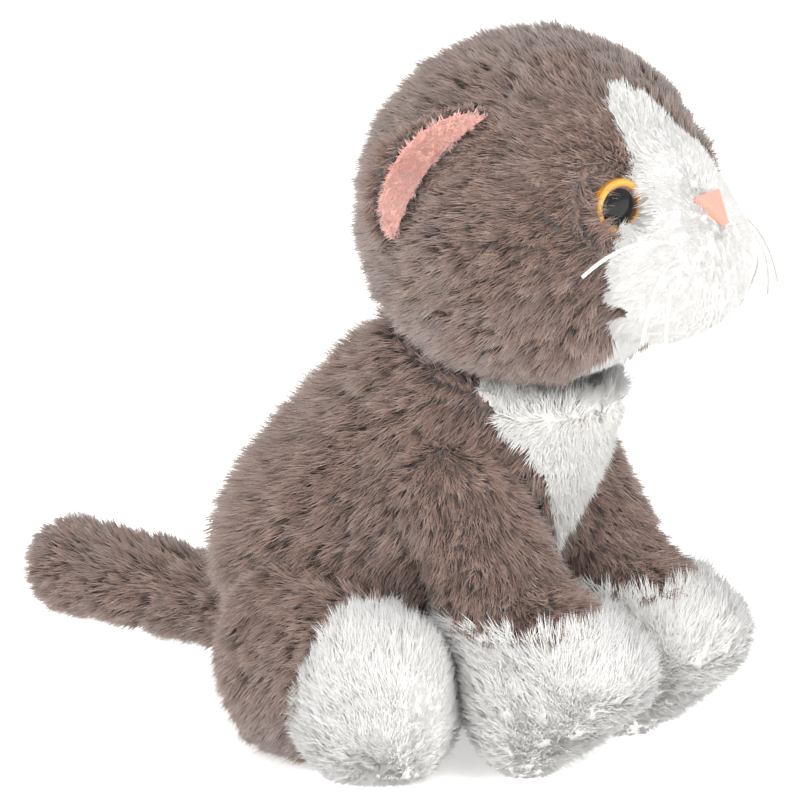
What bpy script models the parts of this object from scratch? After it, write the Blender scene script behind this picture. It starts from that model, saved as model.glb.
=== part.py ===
"""A sitting plush cat, 25 cm tall with its pile, as the pieces it is sewn and filled from.

The cat faces -Y, so +X is its left side. The origin is the middle of the flat seat.
Lengths are in millimetres until at() and the forms turn them into metres.
"""

from math import cos, pi, radians, sin

import bmesh
import bpy
from mathutils import Matrix, Vector

MM = 0.001

# Fabric and gaps
SKIN = 2.0  # plush backing with the dense root of its pile
PACKING = 0.8  # between a skin and its filling
SEAM = 0.3  # between two panels that are sewn edge to edge
RUNNING = 1.0  # between two bodies that move on each other

# Soft forms. Each is the hull of balls: (forward, side, up, radius side, forward, up)
HEAD = (63, 0, 185, 60, 55, 56)
MUZZLE = (110, 0, 174, 32, 29, 27)
BRIDGE = (100, 0, 198, 24, 26, 20)
NECK_RADIUS = 20
NECK = (49, 0, 131)
RUMP = (3, 0, 52, 54, 52, 57)
CHEST = (39, 0, 100, 39, 34, 37)
NAPE = (36, 0, 119, 34, 34, 34)
THROAT = (62, 0, 118, 27, 27, 24)
SHOULDER = (49, 30, 92, 18, 19, 18)
WRIST = (73, 31, 50, 20, 19, 20)
HEEL = (78, 31, 25, 20, 17, 26)
TOE = (103, 31, 37, 20, 18, 14)
HIP = (-4, 50, 33, 18, 22, 30)
KNEE = (24, 57, 31, 20, 22, 29)
HIND_FOOT = (34, 64, 27, 24, 20, 29)
HIND_SOLE = (55, 64, 27, 21, 7, 24)
TAIL_ROOT = (-54, 0, 32, 12.5, 12.5, 12.5)
TAIL_MIDDLE = (-95, 0, 36, 12.5, 12.5, 12.5)
TAIL_TIP = (-121, 0, 37, 13.5, 14, 13.5)
PELLETS = (4, 0, 13, 26, 27, 9.5)

# Seams
FACE_HALF = 15  # half the width of the white strip between the cheeks
FACE_FRONT = 60  # the ear-to-ear seam, forward of the seat's middle
BLAZE_TOP = 231
BLAZE_FOOT = 176
SEAT_TOP = 7
BIB_TIP = 70
BIB_SPREAD = 0.62  # half the bib's width for each millimetre above its tip
BELLY_HALF = 16
BELLY_TOP = 92
WRIST_SEAM = 53
SOLE_SEAM = 57

# Ears
EAR_TOP = (69.5, 44, 225)
EAR_FOOT = (44.4, 54, 180)
EAR_REACH = (-0.31, 0.70, 0.64)  # the way the flap stands out of the head
EAR_HALF = 27
EAR_HEIGHT = 23
EAR_BACK = 2.4
EAR_LINING = 1.2

# Eyes: an amber disc with a domed black pupil on a shank, held by a washer inside the head
EYE = (110.5, 28, 196.6)
EYE_SPLAY = 22
EYE_RADIUS = 9.3
EYE_RIM = 0.8  # how far the amber disc stands out of the cloth
PUPIL_RADIUS = 6.8
PUPIL_DOME = 1.6
SHANK_RADIUS = 2.0
SHANK_LENGTH = 12
WASHER_RADIUS = 5.5

# Whiskers: waxed thread
WHISKER_RADIUS = 0.65
WHISKER_STEPS = 10

# Travel of the soft seams, in degrees
NOD = 8
LEG_SWING = 25
LEG_SPLAY = 20
TAIL_SWING = 25
EAR_FOLD = 14

SIDES = (("right", 1), ("left", -1))
LATERAL = Vector((1, 0, 0))
UP = Vector((0, 0, 1))

for old in list(bpy.data.objects):
    bpy.data.objects.remove(old)

cat = bpy.data.collections.new("plush_cat")
cutters = bpy.data.collections.new("cutters")
bpy.context.scene.collection.children.link(cat)
bpy.context.scene.collection.children.link(cutters)


def at(forward, side, up):
    """A point given as the cat sees it: side is towards its right."""
    return Vector((-side, -forward, up)) * MM


def mirrored(ball, side):
    """The same ball on the right (1) or the left (-1) of the cat."""
    return (ball[0], ball[1] * side, *ball[2:])


def colour(name, code, roughness):
    """A Principled material from an sRGB hex code."""
    made = bpy.data.materials.new(name)
    made.use_nodes = True
    shader = made.node_tree.nodes["Principled BSDF"]
    values = [int(code[i : i + 2], 16) / 255 for i in (0, 2, 4)]
    linear = [v / 12.92 if v <= 0.04045 else ((v + 0.055) / 1.055) ** 2.4 for v in values]
    shader.inputs["Base Color"].default_value = (*linear, 1)
    shader.inputs["Roughness"].default_value = roughness
    shader.inputs["Metallic"].default_value = 0
    return made


TAUPE_PLUSH = colour("taupe_plush", "8c7b72", 0.95)
WHITE_PLUSH = colour("white_plush", "f1f0ee", 0.95)
PINK_PLUSH = colour("pink_plush", "e29a8e", 0.95)
PINK_VELOUR = colour("pink_velour", "f2a893", 0.9)
FILLING = colour("polyester_fibre", "f7f7f4", 1.0)
PELLET_CLOTH = colour("pellet_cloth", "d9d6cc", 0.9)
BLACK_PLASTIC = colour("black_plastic", "0d0b0a", 0.08)
AMBER_PLASTIC = colour("amber_plastic", "d39a21", 0.2)
WASHER_PLASTIC = colour("washer_plastic", "e6e6e2", 0.5)
WAXED_THREAD = colour("waxed_thread", "f6f5f1", 0.5)


def put(name, mesh, material=None, place=None):
    """An object of this mesh: a piece of the cat, or a cutter if it has no material."""
    made = bpy.data.objects.new(name, mesh)
    if place is not None:
        made.matrix_world = place
    if material is None:
        cutters.objects.link(made)
        made.hide_render = True
        made.display_type = "WIRE"
    else:
        cat.objects.link(made)
        mesh.materials.clear()
        mesh.materials.append(material)
    return made


def mesh_from(name, bm):
    bmesh.ops.recalc_face_normals(bm, faces=bm.faces)
    mesh = bpy.data.meshes.new(name)
    bm.to_mesh(mesh)
    bm.free()
    mesh.shade_smooth()
    mesh.set_sharp_from_angle(angle=radians(40))
    return mesh


def ball_points(ball, grow, segments, rings):
    forward, side, up, r_side, r_forward, r_up = ball
    bm = bmesh.new()
    size = Matrix.Diagonal(((r_side + grow) * MM, (r_forward + grow) * MM, (r_up + grow) * MM, 1))
    place = Matrix.Translation(at(forward, side, up)) @ size
    bmesh.ops.create_uvsphere(bm, u_segments=segments, v_segments=rings, radius=1, matrix=place)
    points = [v.co.copy() for v in bm.verts]
    bm.free()
    return points


def form(name, balls, grow=0.0, segments=12, rings=8, floor=None, turns=(Matrix(),)):
    """The hull of some balls, each grown by a length, in each of the given turns.

    floor is the height that the form is cut flat at.
    """
    bm = bmesh.new()
    for turn in turns:
        for ball in balls:
            for point in ball_points(ball, grow, segments, rings):
                bm.verts.new(turn @ point)
    bmesh.ops.convex_hull(bm, input=bm.verts)
    inside = [v for v in bm.verts if not v.link_faces]
    bmesh.ops.delete(bm, geom=inside, context="VERTS")
    if floor is not None:
        everything = bm.verts[:] + bm.edges[:] + bm.faces[:]
        bmesh.ops.bisect_plane(
            bm, geom=everything, plane_co=(0, 0, floor * MM), plane_no=(0, 0, -1), clear_outer=True
        )
        bmesh.ops.holes_fill(bm, edges=bm.edges, sides=0)
    return put(name, mesh_from(name, bm))


def turned(pivot, axis, degrees):
    """The matrix that turns about an axis through a pivot."""
    place = Matrix.Translation(pivot)
    return place @ Matrix.Rotation(radians(degrees), 4, axis) @ place.inverted()


def box(name, low, high):
    """A box between two corners, given as (forward, side, up)."""
    a, b = at(*low), at(*high)
    bm = bmesh.new()
    size = Matrix.Diagonal((*[abs(b[i] - a[i]) for i in range(3)], 1))
    bmesh.ops.create_cube(bm, size=1, matrix=Matrix.Translation((a + b) / 2) @ size)
    return put(name, mesh_from(name, bm))


def drum(name, radius, low, high, place, segments=24, stretch=1.0):
    """A cylinder along its own Z between two heights. stretch lengthens it along its own X."""
    bm = bmesh.new()
    middle = Matrix.Translation((0, 0, (low + high) / 2 * MM))
    bmesh.ops.create_cone(
        bm,
        cap_ends=True,
        segments=segments,
        radius1=radius * MM,
        radius2=radius * MM,
        depth=(high - low) * MM,
        matrix=middle @ Matrix.Diagonal((stretch, 1, 1, 1)),
    )
    bmesh.ops.transform(bm, matrix=place, verts=bm.verts)
    return put(name, mesh_from(name, bm))


def boolean(target, others, operation):
    for other in others:
        modifier = target.modifiers.new(f"{operation.lower()}_{other.name}", "BOOLEAN")
        modifier.operation = operation
        modifier.object = other
    return target


def baked(source, name, material=None):
    """A new object with the source's shape after its modifiers."""
    bpy.context.view_layer.update()
    graph = bpy.context.evaluated_depsgraph_get()
    mesh = bpy.data.meshes.new_from_object(source.evaluated_get(graph))
    mesh.name = name
    return put(name, mesh, material, source.matrix_world.copy())


def panel(name, shell, material, keep=(), leave=()):
    """The part of a shell that lies in every region of keep and in none of leave."""
    made = baked(shell, name, material)
    boolean(made, keep, "INTERSECT")
    return boolean(made, leave, "DIFFERENCE")


def facing(origin, direction, across=None):
    """A frame whose Z points along a direction, and whose X lies as near across as it can."""
    z = direction.normalized()
    x = (across or (LATERAL if abs(z.x) < 0.9 else UP)).normalized()
    y = z.cross(x).normalized()
    x = y.cross(z)
    turn = Matrix((x, y, z)).transposed().to_4x4()
    return Matrix.Translation(origin) @ turn


# The head's pocket and the limbs' pockets in the torso ------------------------------------

neck = at(*NECK)
nods = [turned(neck, LATERAL, angle) for angle in (-NOD, 0, NOD)]
head_round = (*HEAD[:3], 60, 60, 60)
head_pocket = form("head_pocket", [head_round], grow=2 * RUNNING, segments=18, rings=10, turns=nods)
neck_pocket = form("neck_pocket", [(*NECK, NECK_RADIUS, NECK_RADIUS, NECK_RADIUS)], grow=RUNNING)

pockets = [head_pocket, neck_pocket]
for word, side in SIDES:
    shoulder = at(*mirrored(SHOULDER, side)[:3])
    swings = [turned(shoulder, LATERAL, -angle) for angle in (0, LEG_SWING)]
    arm = [mirrored(ball, side) for ball in (SHOULDER, WRIST)]
    pockets.append(form(f"front_leg_pocket_{word}", arm, grow=RUNNING, turns=swings))
    hip = at(*mirrored(HIP, side)[:3])
    splays = [turned(hip, UP, -side * angle) for angle in (0, LEG_SPLAY)]
    thigh = [mirrored(ball, side) for ball in (HIP, KNEE)]
    pockets.append(form(f"hind_leg_pocket_{word}", thigh, grow=RUNNING, turns=splays))
tail_root = at(*TAIL_ROOT[:3])
sways = [turned(tail_root, UP, angle) for angle in (-TAIL_SWING, TAIL_SWING)]
tail = [TAIL_ROOT, TAIL_MIDDLE, TAIL_TIP]
pockets.append(form("tail_pocket", tail, grow=RUNNING, turns=sways))


# Torso ------------------------------------------------------------------------------------

torso = [RUMP, CHEST, NAPE, THROAT]
torso_shell = form("torso_shell", torso, segments=16, rings=10, floor=0)
torso_hollow = form("torso_hollow", torso, grow=-SKIN, segments=16, rings=10, floor=SKIN)
boolean(torso_shell, [torso_hollow, *pockets], "DIFFERENCE")

FAR = 200
half = SEAM / 2
seat_region = box("seat_region", (-FAR, -FAR, -10), (FAR, FAR, SEAT_TOP - half))
above_seat = box("above_seat", (-FAR, -FAR, SEAT_TOP + half), (FAR, FAR, FAR))
right_of_spine = box("right_of_spine", (-FAR, half, -10), (FAR, FAR, FAR))
left_of_spine = box("left_of_spine", (-FAR, -FAR, -10), (FAR, -half, FAR))


def bib_wedge(name, grow):
    """A four-sided prism along the cat's length, standing on one edge, wider upwards."""
    reach = 60
    place = facing(at(100, 0, BIB_TIP + reach - grow), at(1, 0, 0), across=UP)
    return drum(name, (reach + grow), -55, 0, place @ Matrix.Diagonal((1, BIB_SPREAD, 1, 1)), segments=4)


bib_region = bib_wedge("bib_region", 0)
bib_seam = bib_wedge("bib_seam", SEAM)
belly_region = box("belly_region", (30, -BELLY_HALF, SEAT_TOP + half), (FAR, BELLY_HALF, BELLY_TOP))
belly_seam = box(
    "belly_seam", (30 - SEAM, -BELLY_HALF - SEAM, 0), (FAR, BELLY_HALF + SEAM, BELLY_TOP + SEAM)
)

panel("bib_panel", torso_shell, WHITE_PLUSH, [bib_region])
panel("belly_panel", torso_shell, TAUPE_PLUSH, [belly_region], [bib_seam])
panel("seat_panel", torso_shell, TAUPE_PLUSH, [seat_region])
for word, region in (("right", right_of_spine), ("left", left_of_spine)):
    panel(f"back_panel_{word}", torso_shell, TAUPE_PLUSH, [region, above_seat], [bib_seam, belly_seam])

fill = -SKIN - PACKING
torso_fill = form("torso_fill", torso, grow=fill, segments=16, rings=10, floor=-fill)
pellet_pocket = form("pellet_pocket", [PELLETS], grow=PACKING)
boolean(torso_fill, [*pockets, pellet_pocket], "DIFFERENCE")
baked(torso_fill, "body_stuffing", FILLING)
pouch = form("pouch", [PELLETS])
baked(pouch, "pellet_pouch", PELLET_CLOTH)
neck_wad = form("neck_wad", [(*NECK, NECK_RADIUS, NECK_RADIUS, NECK_RADIUS)])
baked(neck_wad, "neck_stuffing", FILLING)


# Head -------------------------------------------------------------------------------------

head_outer = form("head_outer", [HEAD], segments=18, rings=10)
head_hollow = form("head_hollow", [HEAD], grow=-SKIN, segments=18, rings=10)
head_seam = form("head_seam", [HEAD], grow=SEAM, segments=18, rings=10)
muzzle = [MUZZLE, BRIDGE]
muzzle_outer = form("muzzle_outer", muzzle)
muzzle_hollow = form("muzzle_hollow", muzzle, grow=-SKIN)

eye_frames = {}
for word, side in SIDES:
    splay = radians(EYE_SPLAY)
    outwards = at(cos(splay), side * sin(splay), 0)
    eye_frames[word] = facing(at(*mirrored(EYE, side)), outwards)

shank_bores = [
    drum(f"shank_bore_{word}", SHANK_RADIUS + SEAM, -15, 5, frame, segments=16)
    for word, frame in eye_frames.items()
]
# The muzzle's cloth is cut away where an eye sits on its edge.
eye_rooms = [
    drum(f"eye_room_{word}", EYE_RADIUS + SEAM, -3, 9, frame) for word, frame in eye_frames.items()
]
boolean(head_outer, [head_hollow, neck_pocket, muzzle_hollow, *shank_bores], "DIFFERENCE")

front_half = box("front_half", (FACE_FRONT + half, -FAR, 0), (FAR, FAR, FAR + 100))
back_half = box("back_half", (-FAR, -FAR, 0), (FACE_FRONT - half, FAR, FAR + 100))
inner = FACE_HALF - half
outer = FACE_HALF + half
crown_region = box("crown_region", (FACE_FRONT + half, -inner, BLAZE_TOP + half), (FAR, inner, FAR + 100))
blaze_region = box("blaze_region", (FACE_FRONT + half, -inner, BLAZE_FOOT), (FAR, inner, BLAZE_TOP - half))
chin_region = box("chin_region", (FACE_FRONT + half, -inner, 0), (FAR, inner, BLAZE_FOOT - half))
cheek_regions = {
    "right": box("cheek_region_right", (FACE_FRONT + half, outer, 0), (FAR, FAR, FAR + 100)),
    "left": box("cheek_region_left", (FACE_FRONT + half, -FAR, 0), (FAR, -outer, FAR + 100)),
}
nape_regions = {
    "right": box("nape_region_right", (-FAR, half, 0), (FACE_FRONT - half, FAR, FAR + 100)),
    "left": box("nape_region_left", (-FAR, -FAR, 0), (FACE_FRONT - half, -half, FAR + 100)),
}

panel("crown_panel", head_outer, TAUPE_PLUSH, [crown_region])
panel("blaze_panel", head_outer, WHITE_PLUSH, [blaze_region])
panel("chin_panel", head_outer, WHITE_PLUSH, [chin_region])
for word, _ in SIDES:
    panel(f"cheek_panel_{word}", head_outer, TAUPE_PLUSH, [cheek_regions[word]])
    panel(f"head_back_panel_{word}", head_outer, TAUPE_PLUSH, [nape_regions[word]])
boolean(muzzle_outer, [muzzle_hollow, head_seam, *eye_rooms], "DIFFERENCE")
baked(muzzle_outer, "muzzle_panel", WHITE_PLUSH)

head_fill = form("head_fill", [HEAD], grow=fill, segments=18, rings=10)
muzzle_fill = form("muzzle_fill", muzzle, grow=fill)
boolean(head_fill, [muzzle_fill], "UNION")
washer_pockets = [
    drum(f"washer_pocket_{word}", WASHER_RADIUS + PACKING, -SHANK_LENGTH - 2, 5, frame)
    for word, frame in eye_frames.items()
]
boolean(head_fill, [neck_pocket, *washer_pockets, *eye_rooms], "DIFFERENCE")
baked(head_fill, "head_stuffing", FILLING)


# Eyes -------------------------------------------------------------------------------------

for word, frame in eye_frames.items():
    ring = drum(f"iris_ring_{word}", EYE_RADIUS, -2.5, EYE_RIM, frame)
    boolean(ring, [head_seam, shank_bores[word == "left"]], "DIFFERENCE")
    baked(ring, f"eye_iris_{word}", AMBER_PLASTIC)

    bm = bmesh.new()
    dome = Matrix.Diagonal((PUPIL_RADIUS * MM, PUPIL_RADIUS * MM, PUPIL_DOME * MM, 1))
    bmesh.ops.create_uvsphere(bm, u_segments=24, v_segments=12, radius=1, matrix=dome)
    everything = bm.verts[:] + bm.edges[:] + bm.faces[:]
    bmesh.ops.bisect_plane(bm, geom=everything, plane_co=(0, 0, 0), plane_no=(0, 0, -1), clear_outer=True)
    bmesh.ops.holes_fill(bm, edges=bm.edges, sides=0)
    lift = Matrix.Translation((0, 0, (EYE_RIM + SEAM) * MM))
    bmesh.ops.transform(bm, matrix=frame @ lift, verts=bm.verts)
    cap = put(f"dome_{word}", mesh_from(f"dome_{word}", bm))
    shank = drum(f"shank_{word}", SHANK_RADIUS, -SHANK_LENGTH, 2.5, frame, segments=16)
    boolean(cap, [shank], "UNION")
    baked(cap, f"eye_dome_{word}", BLACK_PLASTIC)

    washer = drum(f"washer_disc_{word}", WASHER_RADIUS, -7.5, -6, frame, segments=20)
    boolean(washer, [shank_bores[word == "left"]], "DIFFERENCE")
    baked(washer, f"eye_washer_{word}", WASHER_PLASTIC)


# Nose -------------------------------------------------------------------------------------

NOSE = (129.8, 3, 193.5)
nose_frame = facing(at(*NOSE), at(0.75, 0, 0.66), across=at(-0.66, 0, 0.75))
muzzle_seam = form("muzzle_seam", muzzle, grow=SEAM)
point_down = Matrix.Rotation(pi / 2, 4, "Z")
nose = drum("nose_block", 6.8, -6, 2.6, nose_frame @ point_down, segments=3)
boolean(nose, [muzzle_seam, head_seam], "DIFFERENCE")
baked(nose, "nose_pad", PINK_VELOUR)


# Ears -------------------------------------------------------------------------------------

for word, side in SIDES:
    top = at(*mirrored(EAR_TOP, side))
    foot = at(*mirrored(EAR_FOOT, side))
    reach = at(*mirrored(EAR_REACH, side)).normalized()
    along = (top - foot).normalized()
    # The flap's front, the way the lining faces, is the same way on both sides of the head.
    front = along.cross(reach) * side
    frame = facing((top + foot) / 2, front, across=along)
    folds = [turned((top + foot) / 2, along, angle) for angle in (-EAR_FOLD, 0, EAR_FOLD)]
    head_near = form(f"head_near_ear_{word}", [HEAD], grow=RUNNING, segments=18, rings=10, turns=folds)
    flap_size = EAR_HALF / EAR_HEIGHT
    lining_size = (EAR_HALF - 1) / (EAR_HEIGHT - 4)
    back = drum(f"ear_back_disc_{word}", EAR_HEIGHT, -EAR_BACK, 0, frame, stretch=flap_size)
    lining = drum(f"ear_lining_disc_{word}", EAR_HEIGHT - 4, SEAM, SEAM + EAR_LINING, frame, stretch=lining_size)
    for disc, name, material in (
        (back, f"ear_back_{word}", TAUPE_PLUSH),
        (lining, f"ear_lining_{word}", PINK_PLUSH),
    ):
        boolean(disc, [head_near], "DIFFERENCE")
        baked(disc, name, material)


# Whiskers ---------------------------------------------------------------------------------

# Each thread starts on the muzzle, leaves sideways and droops towards its end.
WHISKERS = {
    "right_upper": ((127, 23.7, 185.5), (-2, 22.5, 7), (-12, 35, -6)),
    "right_middle": ((130.3, 23.4, 180.2), (3.5, 20, 3), (2, 26.4, -23)),
    "right_lower": ((130.1, 24.8, 174), (5.5, 16, 1), (6.9, 18, -32.6)),
    "left_upper": ((127, -23.7, 185.5), (1, -16, -10), (-4, -30, -29)),
    "left_middle": ((130.3, -23.4, 180.2), (0, -14, -9), (-8, -25, -27)),
    "left_lower": ((130.1, -24.8, 174), (-2, -14, -6), (-18, -22, -26)),
}


def whisker_points(root, leave, end):
    """Points along a quadratic curve from the root, out along leave, to the end."""
    start = Vector(root)
    middle = start + Vector(leave)
    last = start + Vector(end)
    for step in range(WHISKER_STEPS + 1):
        t = step / WHISKER_STEPS
        yield start * (1 - t) ** 2 + middle * 2 * t * (1 - t) + last * t**2


for name, route in WHISKERS.items():
    curve = bpy.data.curves.new(f"whisker_{name}", "CURVE")
    curve.dimensions = "3D"
    curve.bevel_depth = WHISKER_RADIUS * MM
    curve.bevel_resolution = 2
    curve.use_fill_caps = True
    spline = curve.splines.new("POLY")
    spline.points.add(WHISKER_STEPS)
    for knot, point in zip(spline.points, whisker_points(*route)):
        knot.co = (*at(*point), 1)
    curve.materials.append(WAXED_THREAD)
    thread = bpy.data.objects.new(f"whisker_{name}", curve)
    cat.objects.link(thread)


# Front legs -------------------------------------------------------------------------------

above_wrist = box("above_wrist", (-FAR, -FAR, WRIST_SEAM + half), (FAR, FAR, FAR))
below_wrist = box("below_wrist", (-FAR, -FAR, -10), (FAR, FAR, WRIST_SEAM - half))
wrist_up = box("wrist_up", (-FAR, -FAR, WRIST_SEAM - half / 2), (FAR, FAR, FAR))
wrist_down = box("wrist_down", (-FAR, -FAR, -10), (FAR, FAR, WRIST_SEAM + half / 2))
for word, side in SIDES:
    arm = [mirrored(ball, side) for ball in (SHOULDER, WRIST)]
    paw = [mirrored(ball, side) for ball in (WRIST, HEEL, TOE)]
    sleeve = form(f"sleeve_{word}", arm)
    boolean(sleeve, [form(f"sleeve_hollow_{word}", arm, grow=-SKIN)], "DIFFERENCE")
    panel(f"front_leg_sleeve_{word}", sleeve, TAUPE_PLUSH, [above_wrist])
    mitten = form(f"mitten_{word}", paw, floor=0)
    boolean(mitten, [form(f"mitten_hollow_{word}", paw, grow=-SKIN, floor=SKIN)], "DIFFERENCE")
    panel(f"front_paw_{word}", mitten, WHITE_PLUSH, [below_wrist])
    # The two ends of the filling run into each other inside the gap of the wrist seam.
    arm_fill = boolean(form(f"arm_fill_{word}", arm, grow=fill), [wrist_up], "INTERSECT")
    paw_fill = form(f"paw_fill_{word}", paw, grow=fill, floor=-fill)
    paw_end = baked(boolean(paw_fill, [wrist_down], "INTERSECT"), f"paw_end_{word}")
    boolean(arm_fill, [paw_end], "UNION")
    baked(arm_fill, f"front_leg_stuffing_{word}", FILLING)


# Hind legs --------------------------------------------------------------------------------

sole_region = box("sole_region", (SOLE_SEAM + half, -FAR, -10), (FAR, FAR, FAR))
behind_sole = box("behind_sole", (-FAR, -FAR, -10), (SOLE_SEAM - half, FAR, FAR))
for word, side in SIDES:
    thigh = [mirrored(ball, side) for ball in (HIP, KNEE)]
    foot = [mirrored(ball, side) for ball in (HIND_FOOT, HIND_SOLE)]
    leg = form(f"hind_leg_{word}", thigh, floor=0)
    boolean(leg, [form(f"hind_foot_{word}", foot, floor=0)], "UNION")
    hollow = form(f"thigh_hollow_{word}", thigh, grow=-SKIN, floor=SKIN)
    boolean(hollow, [form(f"foot_hollow_{word}", foot, grow=-SKIN, floor=SKIN)], "UNION")
    whole_hollow = baked(hollow, f"hind_leg_hollow_{word}")
    boolean(leg, [whole_hollow], "DIFFERENCE")

    # The thigh and the foot meet on a slanting seam just behind the widest part of the foot.
    seam_normal = at(0.8, 0.5 * side, -0.33).normalized()
    seam_frame = facing(at(22, 60 * side, 30), seam_normal)
    foot_side = drum(f"foot_side_{word}", FAR, half, FAR, seam_frame)
    thigh_side = drum(f"thigh_side_{word}", FAR, -FAR, -half, seam_frame)
    panel(f"thigh_panel_{word}", leg, TAUPE_PLUSH, [thigh_side])
    panel(f"hind_paw_{word}", leg, WHITE_PLUSH, [foot_side, behind_sole])
    panel(f"hind_sole_{word}", leg, WHITE_PLUSH, [foot_side, sole_region])
    leg_fill = form(f"thigh_fill_{word}", thigh, grow=fill, floor=-fill)
    boolean(leg_fill, [form(f"foot_fill_{word}", foot, grow=fill, floor=-fill)], "UNION")
    baked(leg_fill, f"hind_leg_stuffing_{word}", FILLING)


# Tail -------------------------------------------------------------------------------------

tail_skin = form("tail_tube", tail)
tail_hollow = form("tail_hollow", tail, grow=-SKIN)
tail_mouth = drum("tail_mouth", 6, 0, 30, facing(tail_root, at(1, 0, 0)), segments=16)
boolean(tail_skin, [tail_hollow, tail_mouth], "DIFFERENCE")
baked(tail_skin, "tail_skin", TAUPE_PLUSH)
tail_fill = form("tail_fill", tail, grow=fill)
baked(tail_fill, "tail_stuffing", FILLING)
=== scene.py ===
# %% [markdown]
# # A sitting plush cat
# The toy is sewn from long-pile plush, filled with polyester fibre, and finished with domed eyes, a velour nose
# and six whisker threads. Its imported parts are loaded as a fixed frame, and each soft piece that is made here
# rides on one of them. The cat faces -Y, its right side is -X, and it sits on z = 0.

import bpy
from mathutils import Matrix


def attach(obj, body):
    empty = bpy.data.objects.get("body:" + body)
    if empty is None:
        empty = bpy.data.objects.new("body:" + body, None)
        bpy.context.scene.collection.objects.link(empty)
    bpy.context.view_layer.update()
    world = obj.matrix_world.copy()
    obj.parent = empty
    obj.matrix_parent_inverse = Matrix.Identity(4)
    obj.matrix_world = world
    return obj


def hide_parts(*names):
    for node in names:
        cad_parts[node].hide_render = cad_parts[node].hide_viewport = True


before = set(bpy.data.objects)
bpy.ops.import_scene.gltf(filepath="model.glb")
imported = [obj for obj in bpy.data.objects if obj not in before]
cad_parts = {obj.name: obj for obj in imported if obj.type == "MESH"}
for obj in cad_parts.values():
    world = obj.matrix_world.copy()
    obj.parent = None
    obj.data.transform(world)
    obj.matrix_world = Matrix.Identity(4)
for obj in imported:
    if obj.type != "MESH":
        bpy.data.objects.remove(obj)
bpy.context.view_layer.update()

from math import cos, pi, radians, sin

import bpy
import numpy as np
from mathutils import Matrix, Vector

MM = 0.001
SIDES = (("right", 1), ("left", -1))

# %% [markdown]
# ## Places as the cat sees them
# Every length below is in millimetres, as forward, towards its right, and up. One function turns such a triple
# into the frame's metres, so the numbers can be compared with a ruler laid on the toy.


# %% Places
def at(forward, side, up):
    """A place on the cat, in the frame."""
    return Vector((-side, -forward, up)) * MM


def on_side(ball, side):
    """The same ball on the right (1) or the left (-1) of the cat."""
    return (ball[0], ball[1] * side, *ball[2:])


# %% [markdown]
# ## Camera
# A long lens from well back, at the height of the toy's head, keeps the near paw from looking swollen. The
# camera stands 58 degrees round to the cat's right and 14 degrees up.

# %% Camera
AZIMUTH, ELEVATION, DISTANCE = 58, 14, 4500
LENS, LOOK_AT = 607.5, (8.75, 0.2, 112.1)
towards_camera = Vector(
    (
        -sin(radians(AZIMUTH)) * cos(radians(ELEVATION)),
        -cos(radians(AZIMUTH)) * cos(radians(ELEVATION)),
        sin(radians(ELEVATION)),
    )
)
lens = bpy.data.cameras.new("portrait_lens")
lens.lens = LENS
lens.sensor_width = 36
camera = bpy.data.objects.new("camera", lens)
camera.location = at(*LOOK_AT) + towards_camera * DISTANCE * MM
camera.rotation_euler = towards_camera.to_track_quat("Z", "Y").to_euler()
bpy.context.scene.collection.objects.link(camera)
bpy.context.scene.camera = camera
print("camera at", [round(x, 3) for x in camera.location])

# %% [markdown]
# ## Whiskers
# Six lengths of stiff waxed thread, 1.3 mm thick, are pulled through the muzzle and cut off. Each leaves square
# to the cloth and droops towards its free end, which a curve with one control point between its ends describes.

# %% Whiskers
WHISKER_RADIUS = 0.65
WHISKER_STEPS = 24
WHISKERS = {
    "right_upper": ((127, 23.7, 185.5), (-2, 22.5, 7), (-12, 35, -6)),
    "right_middle": ((130.3, 23.4, 180.2), (3.5, 20, 3), (2, 26.4, -23)),
    "right_lower": ((130.1, 24.8, 174), (5.5, 16, 1), (6.9, 18, -32.6)),
    "left_upper": ((127, -23.7, 185.5), (1, -16, -10), (-4, -30, -29)),
    "left_middle": ((130.3, -23.4, 180.2), (0, -14, -9), (-8, -25, -27)),
    "left_lower": ((130.1, -24.8, 174), (-2, -14, -6), (-18, -22, -26)),
}


def thread_route(root, leave, end):
    """Places along a quadratic curve from the root, out along leave, to the end."""
    start = Vector(root)
    middle = start + Vector(leave)
    last = start + Vector(end)
    steps = [step / WHISKER_STEPS for step in range(WHISKER_STEPS + 1)]
    return [at(*(start * (1 - t) ** 2 + middle * 2 * t * (1 - t) + last * t**2)) for t in steps]


whiskers = []
for word, route in WHISKERS.items():
    places = thread_route(*route)
    line = bpy.data.curves.new(f"whisker_thread_{word}", "CURVE")
    line.dimensions = "3D"
    # The thread's radius is set on its points, because a curve's bounds are its points' radii.
    line.bevel_depth = 1.0
    line.bevel_resolution = 3
    line.use_fill_caps = True
    spline = line.splines.new("POLY")
    spline.points.add(len(places) - 1)
    for knot, place in zip(spline.points, places):
        knot.co = (*place, 1)
        knot.radius = WHISKER_RADIUS * MM
    thread = bpy.data.objects.new(f"whisker_thread_{word}", line)
    bpy.context.scene.collection.objects.link(thread)
    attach(thread, "head")
    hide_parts(f"whisker_{word}")
    whiskers.append(thread)

# %% [markdown]
# ## Colours and node trees
# Dyed pile, moulded plastic and thread are all described by a colour, a roughness and a little relief. Colours
# are written as the hex codes a colour card gives, and one function turns them to the linear light that shaders
# work in. One more function adds a node with its settings and its links.


# %% Colour and node helpers
def light_of(code, alpha=1.0):
    """The linear colour of an sRGB hex code."""
    values = [int(code[i : i + 2], 16) / 255 for i in (0, 2, 4)]
    return (*[v / 12.92 if v <= 0.04045 else ((v + 0.055) / 1.055) ** 2.4 for v in values], alpha)


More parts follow.
